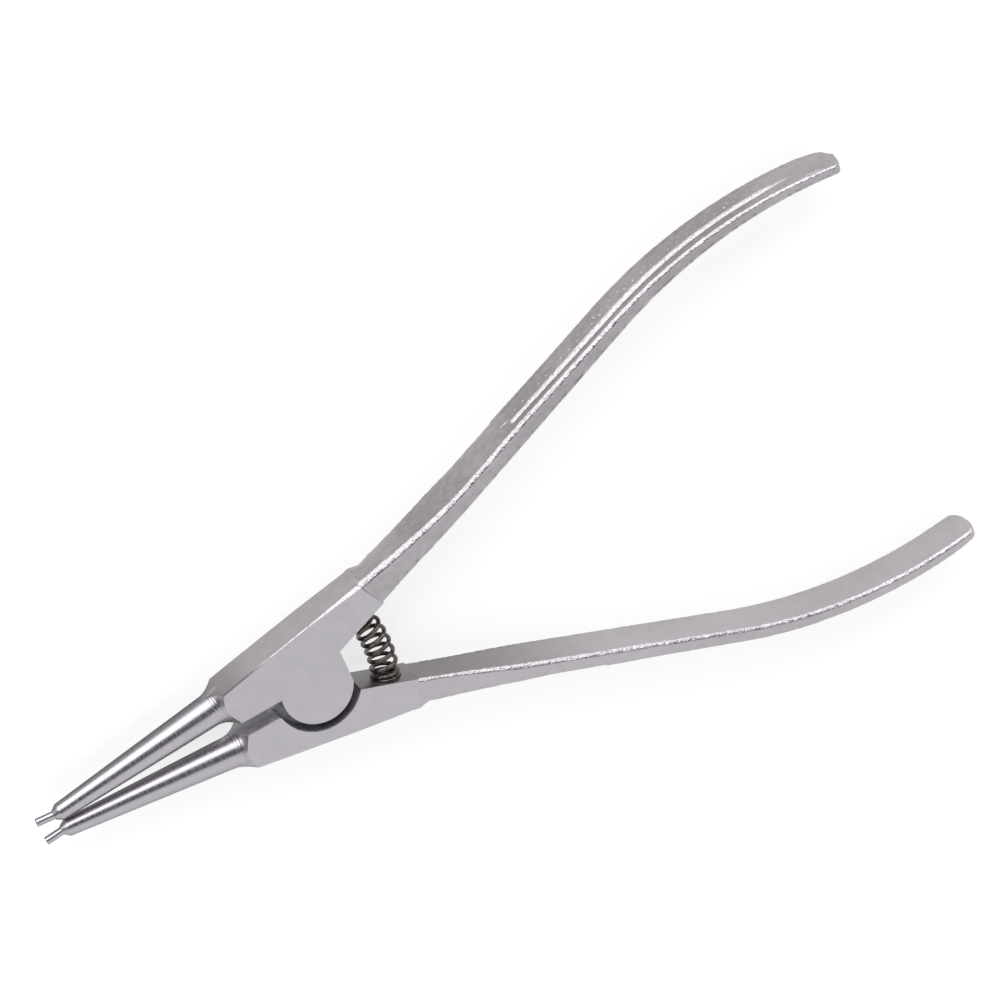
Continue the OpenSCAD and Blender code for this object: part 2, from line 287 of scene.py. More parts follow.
def make_nose():
    """The cone with its sloping shoulder at the end, out of which the pin grows."""
    foot, inside, start, steps = -4.0, 1.5, 2.2, 220
    outline = [(foot, 0), (foot, cone_r(foot)), (inside, cone_r(inside))]
    for i in range(steps + 1):
        a = start + (shoulder - start) * i / steps
        ripple = 0.0022 * noise.noise(Vector((a * 2.3, 0, 0)))
        outline.append((a, cone_r(a) - groove(a, end_ring, 0.09, 0.025) + ripple))
    r = cone_r(shoulder)
    outline += [(shoulder + 0.09, r - 0.02), (shoulder + 0.17, r - 0.07)]
    outline += [(cone_len + 0.78, pin_r + 0.13), (cone_len + 0.9, pin_r + 0.02), (cone_len + 0.95, 0)]
    return lathe(outline)


def make_pin():
    """The thin pin with a broken edge at its end. It starts inside the cone."""
    root, steps = -0.9, 29
    outline = [(root, 0), (root, pin_r)]
    for i in range(steps + 1):
        ripple = 0.0015 * noise.noise(Vector((i * 0.7, 3, 0)))
        outline.append(((pin_len - 0.2) * i / steps, pin_r + ripple))
    outline += [(pin_len - 0.12, pin_r), (pin_len - 0.04, pin_r - 0.05)]
    outline += [(pin_len, pin_r - 0.14), (pin_len, 0)]
    bm = lathe(outline, 48)
    splay = Matrix.Rotation(-cone_lean - pin_splay, 3, "Z")
    bmesh.ops.rotate(bm, cent=(0, 0, 0), matrix=splay, verts=bm.verts)
    bmesh.ops.translate(bm, vec=(cone_len, 0, 0), verts=bm.verts)
    return bm


def make_flare():
    """The ring that hollows out the block's end. Three ridges on it leave three grooves."""
    bm = bmesh.new()
    middle = Vector((flare_run, cone_r(flare_run) - 0.03 + flare_r, 0))
    bmesh.ops.create_circle(bm, segments=360, radius=flare_r, matrix=Matrix.Translation(middle))
    for v in bm.verts:
        if v.co.y < middle.y:
            ridge = sum(groove(v.co.x, at, 0.12, 0.05) for at in tool_marks)
            v.co += (v.co - middle).normalized() * ridge
    bmesh.ops.spin(bm, geom=bm.verts[:] + bm.edges[:], cent=(0, 0, 0), axis=(1, 0, 0), angle=math.tau,
                   steps=160, use_merge=True)
    bmesh.ops.remove_doubles(bm, verts=bm.verts, dist=1e-5)
    return bm


def on_nose(bm):
    """Carry a lathe piece from its own axis to the nose's axis."""
    bmesh.ops.transform(bm, matrix=nose_axis, verts=bm.verts)
    return bm


nose = combine(piece("nose", on_nose(make_nose())), piece("pin", on_nose(make_pin())), "UNION")
combine(block, piece("flare", on_nose(make_flare())), "DIFFERENCE")
combine(block, nose, "UNION")
print("Block with its nose:", [round(x, 2) for x in block.dimensions], "mm")

# %% [markdown]
# ## The forged handle
# The handle is drop-forged between two dies: a slim shank that grows out of the block, and a grip that
# bends slowly inwards. A curve with a bevel could give the bend, but its section would be the same all
# along. Here every size of the section is a function of the distance s along the handle, so the shank
# can taper, the grip can start with a small step, and the end can close in a round.

# %% Sections of the handle
handle_angle, shank_len, bend_r, bend_len = math.radians(22.2), 63.5, 96.0, 50.7
handle_len, grip_start, step_len = shank_len + bend_len, 35.9, 1.1
along = Vector((math.cos(handle_angle), math.sin(handle_angle)))
across = Vector((-along.y, along.x))
handle_root = wall_end.to_2d() + 0.15 * across


def heading(s):
    """The handle's direction, straight along the shank and then turning inwards."""
    return handle_angle - max(0.0, s - shank_len) / bend_r


def centre_line(s):
    """The point of the inner wall at a distance s along the handle."""
    h = heading(s)
    bend = Vector((math.sin(handle_angle) - math.sin(h), math.cos(h) - math.cos(handle_angle)))
    return handle_root + min(s, shank_len) * along + bend_r * bend


def edge_at(s, upper):
    """How far the outer wall's edge lies from the inner wall, on the lug's side or on the other."""
    if upper:
        root = 3.2 + 2.5 * clamp01(1 - s / 28) ** 2
        return root + ramp(s, 30, 40, 0, 0.12) + ramp(s, 36, 110, 0, -1.57)
    root = 3.1 + 1.9 * max(0.0, 1 - max(s, 4.0) / 26) ** 1.2 + ease(s, -0.4, 2.4, 1.3, 0)
    step = ramp(s, 20, grip_start, 0, -0.14) + ease(s, grip_start, grip_start + 0.7, 0, 0.2)
    taper = ramp(s, 36, 46, 0, -0.12) + ramp(s, 36, 108, 0, -0.8) + ramp(s, 60, 90, 0, 0.2)
    return root + step + taper - ease(s, handle_len - 7, handle_len, 0, 0.45)


def parting(s):
    """Thickness in the middle of the wall, where the two dies met. The draft falls away from it."""
    return max(edge_at(s, True), edge_at(s, False)) + 0.15


def half_height(s):
    """Half the handle's height, which closes in a round at the end."""
    end_round = 2.1
    body = ease(s, 2, 24, 4.0, 5.1) + ramp(s, shank_len, handle_len, 0, -0.4)
    end = clamp01((s - handle_len + end_round) / end_round)
    return body * math.sqrt(1 - end * end)


print("Handle:", round(handle_len, 1), "mm long, ending at", [round(x, 1) for x in centre_line(handle_len)])

# %% [markdown]
# ## One section of the handle
# On the outside of the grip lies a raised pad with a round start, soft shoulders and rows of small
# bumps, which keep the hand from slipping. The edges of the forging are worn by tumbling: tight next to
# the faces and nearly flat half way. The outer wall is highest in the middle, where the two dies met.
# One half of a section is drawn at a time, because the two sides of a lever differ a little.

# %% Edges, pad and section
front_pts, edge_pts, wall_pts, inner_pts = 5, 12, 28, 3
grip_w, end_w, pad_flat, pad_round, pad_dip = 3.65, 2.5, 1.55, 1.7, 0.4
bump_step, bump_r = 2.04, 0.4
bump_rows = ((-1.6, 0.13), (-0.5, 0.17), (0.6, 0.26))


def rounding(size):
    """Points of a worn edge from a level face to an upright wall, as (across, down, edge share).

    The edge is tightest next to the faces and nearly flat half way, as tumbling leaves it."""
    along_face, down, points, parts = 0.0, 0.0, [], 8
    turn = math.pi / 2 / parts / edge_pts
    for i in range(edge_pts + 1):
        t = math.pi / 2 * i / edge_pts
        points.append((along_face, down, math.sin(2 * t)))
        for part in range(parts):
            a = t + (part + 0.5) * turn
            r = size * (0.5 + 1.5 * math.exp(-((a - 0.8) / 0.2) ** 2))
            along_face += r * math.cos(a) * turn
            down += r * math.sin(a) * turn
    return points


pad_shoulder = rounding(pad_round)


def pad_fall(rise):
    """How far the pad's shoulder has fallen back at some height above its flat middle."""
    last = pad_shoulder[-1]
    for (a0, d0, _), (a1, d1, _) in zip(pad_shoulder[::-1], pad_shoulder[-2::-1]):
        if last[1] - d1 >= rise:
            t = clamp01((rise - last[1] + d0) / (d0 - d1))
            return last[0] - a0 + (a0 - a1) * t
    return last[0]


def pad_share(s, z):
    """How much of the raised pad there is: none on the shank, a round start, fading towards the end."""
    start = grip_start + ease(abs(z), 0.3, pad_flat, 0, 2.0)
    return ease(s, start, start + step_len, 0, 1) * ease(s, 97, 109, 1, 0)


def pad_bumps(s, z):
    """Rows of small round bumps on the pad, unevenly worn. Every other row is shifted by half a step."""
    height = 0.0
    for row, (level, rise) in enumerate(bump_rows):
        shift = bump_step / 2 * (row % 2)
        k = round((s - shift) / bump_step)
        away = math.hypot(s - shift - bump_step * k, z - level)
        if away < bump_r:
            worn = 0.85 + 0.9 * noise.noise(Vector((0.73 * k, 3.1 * row, 0.5)))
            height += rise * worn * (0.5 + 0.5 * math.cos(math.pi * away / bump_r))
    return height * ease(s, grip_start + 2, grip_start + 4, 0, 1) * ease(s, 98, 104, 1, 0)


def half_section(s, upper):
    """Points from the middle of the inner wall over the front edge to the middle of the outer wall.

    Each point is (across, up, edge share), and the edge share says how ragged it is. On the lug's side
    the handle starts with a small step, and on the other side it runs smoothly into the block."""
    h = half_height(s) + (0 if upper else ease(s, 0, 10, 0.09, 0))
    edge, middle = edge_at(s, upper), parting(s)
    drop = min(0.09 * (edge - 1.3) if upper else ease(s, -1, 16, 0.06, 0.3), h / 4)
    tail_len, tail_inset = 0.55, 0.4
    tail = clamp01((s - handle_len + tail_len) / tail_len)
    inset = tail_inset * (1 - math.sqrt(1 - min(tail, 0.98) ** 2))
    inner_r = 0.45 if upper else ease(s, 0, 25, 0.75, 1.05)
    outer_r = ease(s, 0, 30, 1.4, 1.0) if upper else ease(s, 70, 95, 0.6, 0.95)
    inner, outer = (rounding(min(r, h / 3, edge / 3)) for r in (inner_r, outer_r))
    points = [(inset, (h - inner[-1][0]) * i / inner_pts, 0.0) for i in range(inner_pts)]
    points += [(inset + down, h - inner[-1][0] + up, share) for up, down, share in inner]
    start, end, top = inset + inner[-1][1], edge - outer[-1][0], h - drop
    for i in range(1, front_pts):
        points.append((start + (end - start) * i / front_pts, h - drop * i / front_pts, 0.0))
    points += [(end + out, top - down, share) for out, down, share in outer]
    raised = ramp(s, grip_start, handle_len, grip_w, end_w)
    for i in range(1, wall_pts + 1):
        t = 1 - i / wall_pts
        z = (top - outer[-1][1]) * t
        pad = pad_share(s, z)
        wall = middle + (edge - middle) * t * t - pad_dip * pad * (1 - t * t)
        rounded = raised - pad_fall(z - pad_flat)
        bumps = pad_bumps(s, z if upper else -z)
        points.append((wall + pad * (max(0.0, rounded - wall) + bumps), z, 0.0))
    return points


def full_section(s):
    """Both halves as one closed loop of points."""
    return half_section(s, True) + [(n, -z, e) for n, z, e in half_section(s, False)[-2:0:-1]]


grip_section = full_section(50)
print("Section:", len(grip_section), "points,", round(max(p[0] for p in grip_section), 2), "mm thick")

# %% [markdown]
# ## Rolling the handle
# A sheet of squares is rolled round the handle: one way it follows the handle's length, the other way it
# follows the section, and its seam is merged. The squares are shorter on the grip, where the bumps are,
# and shortest at the round end. Forging leaves the steel a little uneven, so noise moves the points, most
# of all on the edges, which shine as a ragged line.

# %% Roll the sheet
shank_step, grip_step, end_steps = 0.34, 0.195, 16
stations = [-1.2, -0.6]
stations += [i * shank_step for i in range(int(grip_start / shank_step))]
stations += [grip_start + i * grip_step for i in range(int((handle_len - grip_start - 1) / grip_step))]
stations += [handle_len - 1.0 + 0.94 * math.sin(math.pi / 2 * i / end_steps) for i in range(end_steps + 1)]


def ragged(s, n, z, edge, seed):
    """How far forging and tumbling moved a point outwards, in mm."""
    fine = noise.noise(Vector((s * 1.3, n * 1.3 + seed, z * 1.3)))
    fine += 0.5 * noise.noise(Vector((s * 2.7, n * 2 + seed, z * 2)))
    coarse = noise.noise(Vector((s * 0.45, n * 0.5 - seed, z * 0.5)))
    wall = 0.006 * fine + 0.017 * coarse
    rough = ease(s, 5, 30, 0.085, 0.06)
    burr = 0.045 * fine * math.exp(-((s - grip_start - 2) / 1.4) ** 2) if n > 2 else 0
    return (wall + burr + edge * (rough * fine - 0.025)) * ease(s, 0.5, 3, 0, 1)


def make_handle(seed):
    """Bend a flat grid so that its columns become sections, and close both ends."""
    rings = [full_section(s) for s in stations]
    count = len(rings[0])
    bm = bmesh.new()
    bmesh.ops.create_grid(bm, x_segments=len(stations) - 1, y_segments=count, size=1.0)
    for v in bm.verts:
        i = round((v.co.x + 1) / 2 * (len(stations) - 1))
        j = round((v.co.y + 1) / 2 * count) % count
        s, (n, z, edge) = stations[i], rings[i][j]
        before, after = rings[i][j - 1], rings[i][(j + 1) % count]
        out = Vector((before[1] - after[1], after[0] - before[0]))
        out = -out.normalized() if out.length > 1e-6 else Vector((0, 0))
        move = ragged(s, n, z, edge, seed)
        n, z = n + out.x * move, z + out.y * move
        h, p = heading(s), centre_line(s)
        v.co = (p.x - n * math.sin(h), p.y + n * math.cos(h), z)
    bmesh.ops.remove_doubles(bm, verts=bm.verts, dist=1e-4)
    rim = [e for e in bm.edges if e.is_boundary]
    bmesh.ops.edgeloop_fill(bm, edges=rim)
    return bm


handle = piece("handle", make_handle(0.0))
print("Rolled:", len(handle.data.vertices), "vertices,", [round(x, 1) for x in handle.dimensions], "mm")

# %% [markdown]
# ## Two levers from one drawing
# Both levers come from the same dies. The rear one is the front one turned half a turn about the length
# of the pliers, and this is why its lug lies in the recess of the other. A mirrored copy would put both
# lugs on the same side. Each lever also has a blind pocket for the spring and the hole for the rivet, and
# its own seed makes its forging marks differ from the other's.

# %% Join, bore and turn over
pocket_x, pocket_depth, pocket_r = 12.6, 1.2, 2.79
rivet_r, head_r = 2.0, (rivet_high[0] - rivet_low[0]) / 2 / MM
pocket_y = neck_rise + (pocket_x - neck_flat) * math.tan(wall_angle)


def make_pocket():
    """The drum that cuts the spring's pocket, square to the inner wall."""
    bm = drum(pocket_r, -pocket_depth, 1.5, 64)
    inward = Matrix.Rotation(wall_angle, 4, "Z") @ Matrix.Rotation(math.pi / 2, 4, "X")
    bmesh.ops.transform(bm, matrix=Matrix.Translation((pocket_x, pocket_y, 0)) @ inward, verts=bm.verts)
    return bm


def rivet_body(clearance, past):
    """The rivet with its two countersunk heads, or with a clearance the hole for it."""
    r, head, top = rivet_r + clearance, head_r + clearance + past, half_thk + past
    shoulder = half_thk - head_r + rivet_r
    bm = lathe([(-top, 0), (-top, head), (-shoulder, r), (shoulder, r), (top, head), (top, 0)], 128)
    bmesh.ops.rotate(bm, cent=(0, 0, 0), matrix=Matrix.Rotation(math.pi / 2, 3, "Y"), verts=bm.verts)
    return bm


def make_lever(name, steel, handle, turned):
    """Join block and handle, cut pocket and bore, and put the lever in its place in the frame."""
    combine(steel, handle, "UNION")
    combine(steel, piece("pocket", make_pocket()), "DIFFERENCE")
    combine(steel, piece("bore", rivet_body(0.004, 0.5)), "DIFFERENCE")
    place = Matrix.Translation((0, 0, half_thk * MM)) @ Matrix.Rotation(math.pi if turned else 0, 4, "X")
    place = place @ Matrix.Scale(MM, 4)
    edit(steel, lambda bm: bmesh.ops.transform(bm, matrix=place, verts=bm.verts))
    steel.name = steel.data.name = name
    return steel


other = block.copy()
other.data = block.data.copy()
bpy.context.scene.collection.objects.link(other)
front = make_lever("front_lever_steel", block, handle, False)
rear = make_lever("rear_lever_steel", other, piece("handle", make_handle(40.0)), True)
rivet_bm = rivet_body(0, 0)
to_frame = Matrix.Scale(MM, 4) @ Matrix.Translation((0, 0, half_thk))
bmesh.ops.transform(rivet_bm, matrix=to_frame, verts=rivet_bm.verts)
rivet = piece("rivet_steel", rivet_bm)
for made in (front, rear, rivet):
    print(made.name, sum(len(p.vertices) - 2 for p in made.data.polygons), "triangles")

# %% [markdown]
# ## The return spring
# A short spring of thin wire is bent round between the two pockets and pushes the handles apart. A
# curve with a bevel would draw such a wire too. A sheet rolled round the coil keeps its faces even and
# its ends closed. The coil's own axis is an arc that stands square on both pocket floors. The last two
# turns at each end lie close together, so that the spring sits flat in its pocket.

# %% Wind the spring
wire_r, coil_r, turns, end_turns, play = 0.41, 2.325, 10, 2, 0.03
floor_x = pocket_x - pocket_depth * math.sin(wall_angle)
floor_y = pocket_y + pocket_depth * math.cos(wall_angle)
floor_pt = Vector((floor_x, floor_y))
spring_arc_r = floor_pt.y / math.sin(wall_angle)
spring_arc_x = floor_pt.x - spring_arc_r * math.cos(wall_angle)
arc_len = 2 * wall_angle * spring_arc_r
print("Spring axis: arc of", round(spring_arc_r, 2), "mm radius,", round(arc_len, 2), "mm long")


def coil_run(t):
    """Distance along the axis after t turns: closed end turns and an even pitch between them."""
    closed, open_turns = 2 * wire_r + play, turns - 2 * end_turns
    free = arc_len - 2 * wire_r - 2 * play - 2 * end_turns * closed
    at_ends = min(t, end_turns) + max(0.0, t - turns + end_turns)
    between = max(0.0, min(open_turns, t - end_turns))
    return wire_r + play + closed * at_ends + free * between / open_turns


def wire_point(t):
    """Middle of the wire after t turns, and the direction from the coil's axis to it."""
    a = wall_angle - coil_run(t) / spring_arc_r
    radial = Vector((math.cos(a), math.sin(a), 0))
    out = radial * math.cos(math.tau * t) + Vector((0, 0, 1)) * math.sin(math.tau * t)
    return Vector((spring_arc_x, 0, 0)) + radial * spring_arc_r + out * coil_r, out


def make_spring():
    """Bend a flat grid round the wire's path and close its ends."""
    rings, around = turns * 44, 16
    bm = bmesh.new()
    bmesh.ops.create_grid(bm, x_segments=rings, y_segments=around, size=1.0)
    for v in bm.verts:
        t = (v.co.x + 1) / 2 * turns
        angle = math.tau * (v.co.y + 1) / 2
        p, out = wire_point(t)
        ahead = (wire_point(t + 0.002)[0] - wire_point(t - 0.002)[0]).normalized()
        side = ahead.cross(out).normalized()
        v.co = p + wire_r * (math.cos(angle) * out + math.sin(angle) * side) + Vector((0, 0, half_thk))
    bmesh.ops.remove_doubles(bm, verts=bm.verts, dist=1e-4)
    bmesh.ops.edgeloop_fill(bm, edges=[e for e in bm.edges if e.is_boundary])
    bmesh.ops.scale(bm, vec=(MM, MM, MM), verts=bm.verts)
    return bm


spring = piece("spring_coil", make_spring())
print("Spring:", len(spring.data.vertices), "vertices")

# %% [markdown]
# ## Who moves with whom
# The rear half is the root body and carries the rivet. The front lever turns about the rivet. The
# spring is held by both and is attached to neither.

# %% Bodies
for lever, body, node in ((front, "front_half", "front_lever"), (rear, "rear_half", "rear_lever")):
    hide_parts(node)
    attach(lever, body)
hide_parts("return_spring")
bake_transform(spring)
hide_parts("pivot_rivet")
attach(rivet, "rear_half")

# %% [markdown]
# ## Reckoning with shader sockets
# A material is a small calculation for each point of a surface. Linking every node by hand would take
# a page for each finish. This class wraps a socket so that plain arithmetic on it adds the Math nodes,
# and one method adds any other node.

# %% A socket that can be reckoned with
class Socket:
    def __init__(self, tree, out):
        self.tree, self.out = tree, out

    def node(self, kind, settings=None, inputs=None, output=0):
        """Add any node by its type, its settings and the values or links of its sockets."""
        made = self.tree.nodes.new(kind)
        for name, value in (settings or {}).items():
            setattr(made, name, value)
        for key, value in (inputs or {}).items():
            if isinstance(value, Socket):
                self.tree.links.new(value.out, made.inputs[key])
            else:
                made.inputs[key].default_value = value
        return Socket(self.tree, made.outputs[output])

    def math(self, operation, a, b):
        return self.node("ShaderNodeMath", {"operation": operation}, {0: a, 1: b})

    def __add__(self, other):
        return self.math("ADD", self, other)

    def __sub__(self, other):
        return self.math("SUBTRACT", self, other)

    def __rsub__(self, other):
        return self.math("SUBTRACT", other, self)

    def __mul__(self, other):
        return self.math("MULTIPLY", self, other)

    __radd__, __rmul__ = __add__, __mul__

    def axis(self, index):
        """One of the three numbers of a vector: 0 for X, 1 for Y, 2 for Z."""
        return self.node("ShaderNodeSeparateXYZ", None, {"Vector": self}, output=index)

    def noise(self, scale, detail=3.0, roughness=0.55):
        """Noise between 0 and 1 whose grain is 1/scale of a metre."""
        return self.node("ShaderNodeTexNoise", None,
                         {"Vector": self, "Scale": scale, "Detail": detail, "Roughness": roughness})

    def window(self, low, high, start=0.0, end=1.0):
        """Map a value smoothly from low..high to start..end."""
        return self.node("ShaderNodeMapRange", {"interpolation_type": "SMOOTHSTEP"},
                         {"Value": self, "From Min": low, "From Max": high, "To Min": start, "To Max": end})

    def mix(self, a, b):
        """Mix two colours by this value."""
        return self.node("ShaderNodeMix", {"data_type": "RGBA"}, {0: self, 6: a, 7: b}, output=2)

    def bump(self, strength, depth):
        return self.node("ShaderNodeBump", None, {"Height": self, "Strength": strength, "Distance": depth})


def start_material(name):
    """A material with its Principled node and the piece's own coordinates in metres."""
    material = bpy.data.materials.new(name)
    material.use_nodes = True
    tree = material.node_tree
    shader = tree.nodes["Principled BSDF"]
    at = Socket(tree, tree.nodes.new("ShaderNodeTexCoord").outputs["Object"])
    return material, tree, shader, at


def wire_up(tree, shader, **values):
    """Link sockets to the Principled node, and set plain numbers on it."""
    for name, value in values.items():
        key = name.replace("_", " ")
        if isinstance(value, Socket):
            tree.links.new(value.out, shader.inputs[key])
        else:
            shader.inputs[key].default_value = value


print("Sockets know:", [name for name in vars(Socket) if not name.startswith("_")])

# %% [markdown]
# ## Plated steel, eight ways
# The levers are one kind of steel with one thin satin plating, but each process leaves its own skin.
# Grinding leaves the joint's faces even and silky. The block's outer wall stays as it was forged, a
# little brown, and darker near the nose. Turning leaves the nose bright, with fine rings round it. The
# gap in the joint is painted a darker grey, as painted shade. The handle is tumbled before plating, so
# its faces are softly mottled. Its inner wall is painted darker near the joint, as painted shade, its
# outer wall is browner and painted darker than the inner wall, as painted shade, and its edges are worn
# bright and uneven. One material could mix all of these by masks, but eight small ones are easier to
# read, and each face takes just one.

# %% Plated finishes
def grey(level):
    return (level, level, level, 1.0)


def plated(level, warm=0.0):
    """The plating's grey, which leans a little to violet, or to brown where it is warm."""
    return (level * (1.005 + warm), level * 0.964, level * (1.031 - warm), 1.0)


def ground_face():
    material, tree, shader, at = start_material("ground_satin_plating")
    cloud, grain = at.noise(260, 2), at.noise(9000, 2)
    colour = cloud.window(0.35, 0.65).mix(plated(0.457), plated(0.482))
    wire_up(tree, shader, Metallic=1.0, Base_Color=colour, Roughness=0.33 + 0.06 * cloud + 0.05 * grain,
            Normal=grain.bump(0.12, 0.00003))
    return material


def forged_wall():
    """Skin of the block's outer wall, which darkens over its last millimetres towards the nose."""
    material, tree, shader, at = start_material("forged_wall_plating")
    patch, grain = at.noise(420, 4), at.noise(3200, 3)
    colour = patch.window(0.3, 0.7).mix(plated(0.36, 0.032), plated(0.394, 0.027))
    colour = at.axis(0).window(-0.015, -0.0065).mix(plated(0.27, 0.04), colour)
    wire_up(tree, shader, Metallic=1.0, Base_Color=colour, Roughness=0.40 + 0.1 * patch + 0.06 * grain,
            Normal=(0.7 * patch + 0.3 * grain).bump(0.025, 0.00006))
    return material


def tumbled_forging(name, dark, light, warm, grain_size, depth, painted_joint_shade=False):
    """Skin of the handle. Near the joint an inner wall can be painted darker, as painted shade."""
    material, tree, shader, at = start_material(name)
    patch, broad = at.noise(600, 4), at.noise(50, 1)
    grain, pits = at.noise(grain_size, 2), at.noise(1500, 2)
    colour = (0.45 * patch + 0.55 * broad).window(0.38, 0.62).mix(plated(dark, warm), plated(light, warm))
    if painted_joint_shade:
        # Painted shade: an inner wall is darker near the joint, towards the other lever.
        colour = at.axis(0).window(0.02, 0.058).mix(plated(0.53 * dark, warm + 0.02), colour)
    wire_up(tree, shader, Metallic=1.0, Base_Color=colour, Roughness=0.27 + 0.1 * pits + 0.04 * grain,
            Normal=(0.6 * grain + 0.3 * pits + 0.1 * patch).bump(1.0, depth))
    return material


def turned_nose():
    """Skin of the cones. The noise is stretched across the nose, so that it forms rings."""
    material, tree, shader, at = start_material("turned_bright_plating")
    rings = at.node("ShaderNodeMapping", None, {"Vector": at, "Scale": (1.0, 0.12, 0.12)})
    tool, wave = rings.noise(3800, 2), at.noise(700, 3)
    colour = wave.window(0.3, 0.7).mix(plated(0.43), plated(0.45))
    wire_up(tree, shader, Metallic=1.0, Specular_Tint=grey(0.5), Base_Color=colour,
            Roughness=tool.window(0.3, 0.7, 0.24, 0.36),
            Normal=(0.7 * tool + 0.3 * wave).bump(0.13, 0.00004))
    return material


def painted_shade_gap_wall():
    material, tree, shader, at = start_material("gap_painted_shade")
    patch, grain = at.noise(700, 4), at.noise(4000, 2)
    # Painted shade: the gap's grey is mostly darker than the ground faces' grey.
    colour = patch.window(0.35, 0.65).mix(plated(0.36), plated(0.5))
    wire_up(tree, shader, Metallic=1.0, Base_Color=colour, Roughness=0.5 + 0.15 * patch,
            Normal=grain.bump(0.2, 0.00005))
    return material


GROUND, WALL, TURNED, GAP, FACE, INNER, OUTER, EDGE = range(8)
finishes = [ground_face(), forged_wall(), turned_nose(), painted_shade_gap_wall(),
            tumbled_forging("tumbled_face", 0.39, 0.44, 0.012, 3000, 0.00004),
            tumbled_forging("tumbled_inner_wall", 0.405, 0.44, 0.015, 3000, 0.00004, painted_joint_shade=True),
            # Painted shade: the outer wall is darker than the inner wall; its brown tint is the forging's
            # own.
            tumbled_forging("tumbled_outer_wall", 0.275, 0.365, 0.05, 3000, 0.00004),
            tumbled_forging("worn_edge", 0.42, 0.46, 0.01, 2300, 0.00025)]
for lever in (front, rear):
    lever.data.materials.clear()
    for material in finishes:
        lever.data.materials.append(material)
rivet.data.materials.append(finishes[GROUND])
print("Finishes:", [m.name for m in finishes])

# %% [markdown]
# ## Which skin goes where
# A face knows its place: in front of the block it was turned, and behind the block's end it belongs to
# the handle, where its slope tells face, edge and wall apart. On the block its direction tells a ground
# face from a wall, and the faces by the lap get the gap's darker grey, as painted shade. Large faces have
# most of their corners at one end, so a face's place is its middle weighted by its edges. Faces shade
# smoothly, but an edge stays crisp if it is sharper than 32 degrees, or 12 on the block, and all round
# the block's flat outer wall.

# %% Sort the faces
def skin_of(c, n):
    """Which finish a face gets, from its middle in mm and its direction."""
    level, outward = abs(n.z), n.y * c.y > 0
    if c.x < -nose_x + 0.2:
        return TURNED
    if (Vector((c.x, abs(c.y))) - handle_root).dot(along) > 0.02:
        side = OUTER if outward else INNER
        return FACE if level > 0.93 else EDGE if level > 0.3 else side
    if level > 0.9:
        return GAP if abs(c.z - half_thk) < 0.2 else GROUND
    if abs(c.y) < jaw_half + 0.1 or c.xy.length < recess_r + 0.1 and c.x < neck_flat - 0.05:
        return GAP if level < 0.5 else GROUND
    if level > 0.4 and outward:
        return EDGE
    return WALL if outward or c.x < neck_flat + 0.3 else INNER


def on_outer_wall(face):
    """Whether a face lies in the block's flat outer wall, on either lever."""
    return Vector((face.normal.x, abs(face.normal.y), face.normal.z)).dot(outwards) > 0.9999


def sort_faces(lever):
    """Give each face its finish, mark the crisp edges and count the faces of each finish."""
    bm = bmesh.new()
    bm.from_mesh(lever.data)
    counts = [0] * len(finishes)
    for face in bm.faces:
        face.material_index = skin_of(face.calc_center_median_weighted() / MM, face.normal)
        face.smooth = True
        counts[face.material_index] += 1
    for e in bm.edges:
        limit = 12 if any(f.material_index in (GROUND, WALL, GAP) for f in e.link_faces) else 32
        border = len({on_outer_wall(f) for f in e.link_faces}) == 2
        e.smooth = e.calc_face_angle(0) < math.radians(limit) and not border
    bm.to_mesh(lever.data)
    bm.free()
    return counts


for lever in (front, rear):
    print(lever.name, "faces of each finish:", sort_faces(lever))
for polygon in spring.data.polygons:
    polygon.use_smooth = True

# %% [markdown]
# ## Spring wire
# The spring is drawn from hard wire and left dark. Drawing leaves it smooth, with a slightly uneven
# brown-black skin, so it shows narrow bright glints.

# %% Dark wire
def dark_wire():
    material, tree, shader, at = start_material("dark_spring_wire")
    patch, grain = at.noise(900, 3), at.noise(5000, 2)
    colour = patch.window(0.3, 0.7).mix(plated(0.06, 0.13), plated(0.16, 0.12))
    wire_up(tree, shader, Metallic=1.0, Base_Color=colour, Roughness=0.17 + 0.1 * patch + 0.05 * grain,
            Normal=grain.bump(0.15, 0.00004))
    return material


spring.data.materials.append(dark_wire())
print("Spring finish:", spring.data.materials[0].name)

# %% [markdown]
# ## Studio
# The pliers lie on a plain white floor. A large soft panel stands behind them and draws the white
# lines along the edges and cones. A second, weaker panel hangs in front and lights the ground faces.
# The dark gap between the two gives the steel its contrast. Beside the nose the floor carries a painted
# dark reflection. It is darker there for reflections only, so the cones' top edges show the dark line that
# shade on the floor would give, while the camera sees the floor white.

# %% Floor and light
floor_z = cad_box[0][2] - 0.00002


def area_light(name, at, aim, width, height, power):
    light = bpy.data.lights.new(name, "AREA")
    light.shape, light.size, light.size_y = "RECTANGLE", width, height
    light.energy = power
    lamp = bpy.data.objects.new(name, light)
    lamp.location = at
    lamp.rotation_euler = (Vector(aim) - Vector(at)).to_track_quat("-Z", "Y").to_euler()
    bpy.context.scene.collection.objects.link(lamp)
    return lamp


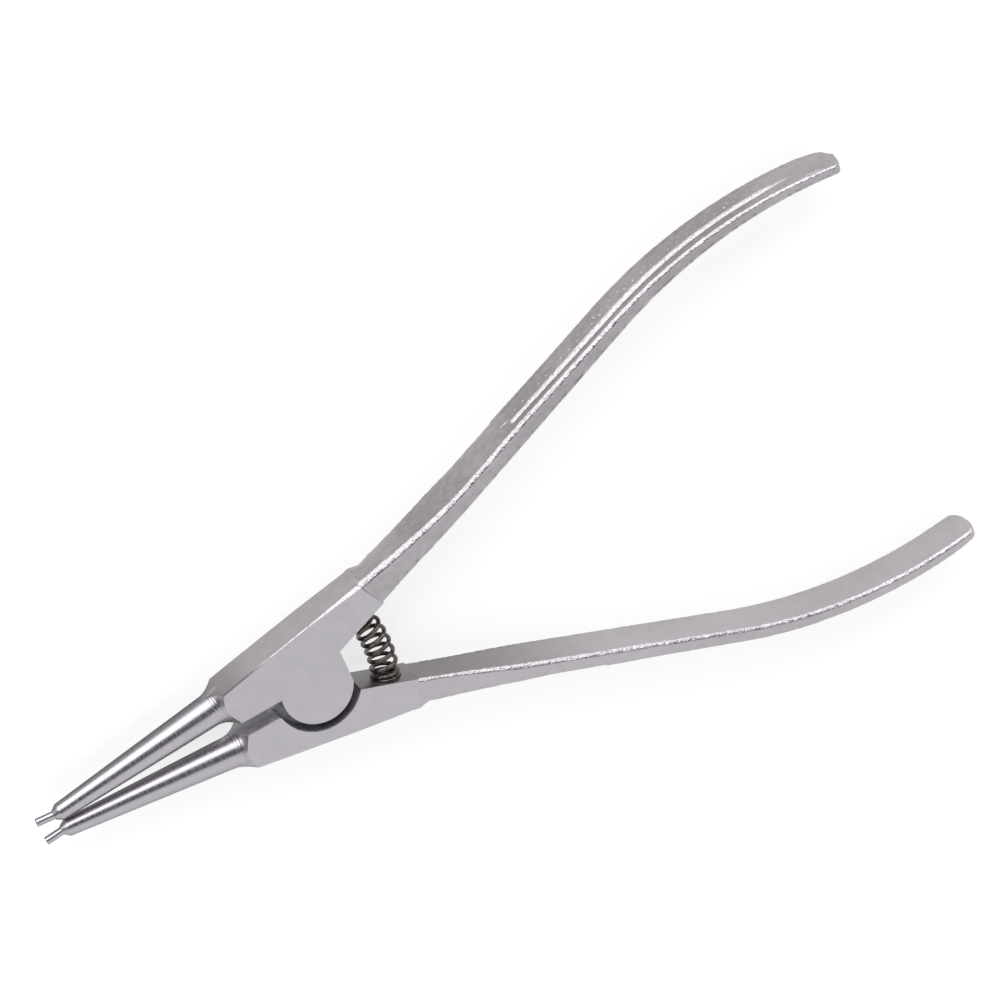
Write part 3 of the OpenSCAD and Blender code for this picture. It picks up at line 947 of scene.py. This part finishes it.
def make_floor():
    """A white floor that keeps the shadow, with a painted dark reflection beside the nose."""
    bm = bmesh.new()
    bmesh.ops.create_grid(bm, x_segments=1, y_segments=1, size=3.0)
    bmesh.ops.translate(bm, vec=(0, 0, floor_z), verts=bm.verts)
    floor = piece("studio_floor", bm)
    material = bpy.data.materials.new("white_floor")
    material.use_nodes = True
    tree = material.node_tree
    tree.nodes.remove(tree.nodes["Principled BSDF"])
    rays = tree.nodes.new("ShaderNodeLightPath").outputs
    kinds = ("Is Camera Ray", "Is Glossy Ray", "Is Transmission Ray")
    camera_ray, glossy, glass = (Socket(tree, rays[kind]) for kind in kinds)
    at = Socket(tree, tree.nodes.new("ShaderNodeTexCoord").outputs["Object"])
    x, y = at.axis(0), at.axis(1)
    # Painted dark reflection: beside the nose the floor is darker for glossy rays only.
    painted_dark_reflection = x.window(-0.016, -0.02) * x.window(-0.075, -0.065)
    painted_dark_reflection = painted_dark_reflection * y.window(-0.004, 0.0) * y.window(0.045, 0.02)
    seen = camera_ray + glossy * (1 - 0.85 * painted_dark_reflection) + glass
    paint = seen.node("ShaderNodeBsdfDiffuse", None, {"Color": grey(0.38)})
    glow = seen.node("ShaderNodeEmission", None, {"Color": grey(1.0), "Strength": 0.72 * seen})
    both = seen.node("ShaderNodeAddShader", None, {0: paint, 1: glow})
    tree.links.new(both.out, tree.nodes["Material Output"].inputs["Surface"])
    floor.data.materials.append(material)
    return floor


make_floor()
area_light("back_panel", (0.05, 1.15, 0.62), (0.05, 0, 0.62), 5.0, 1.24, 53)
area_light("front_panel", (0.05, -0.834, 0.568), (0.05, -0.314, -0.282), 5.0, 1.786, 28)
world = bpy.data.worlds.new("dim_room")
world.use_nodes = True
world.node_tree.nodes["Background"].inputs["Color"].default_value = grey(1.0)
world.node_tree.nodes["Background"].inputs["Strength"].default_value = 0.1
bpy.context.scene.world = world
bpy.context.scene.view_settings.view_transform = "Standard"
print("Floor at", round(floor_z / MM, 2), "mm")

# %% [markdown]
# ## Camera
# The photo looks down on the pliers, a little from the front lever's side. A camera could be aimed with
# a tracking constraint, but the photo is also turned in its frame. So the camera gets a place, a
# direction of view and a right-hand direction, all three fitted to the photo. A long lens keeps
# perspective weak.

# %% Camera
camera_at = Vector((-0.07483, 0.28713, 0.55018))
look = Vector((0.19188, -0.44055, -0.87698)).normalized()
right = Vector((0.85631, -0.36143, 0.36893)).normalized()
camera = bpy.data.cameras.new("camera")
camera.lens, camera.sensor_width = 126.0, 36.0
camera.clip_start, camera.clip_end = 0.05, 20.0
view = bpy.data.objects.new("camera", camera)
upward = right.cross(look)
view.matrix_world = Matrix.Translation(camera_at) @ Matrix((right, upward, -look)).transposed().to_4x4()
bpy.context.scene.collection.objects.link(view)
bpy.context.scene.camera = view
print("Camera", round(camera_at.length, 3), "m from the pivot")

# %% [markdown]
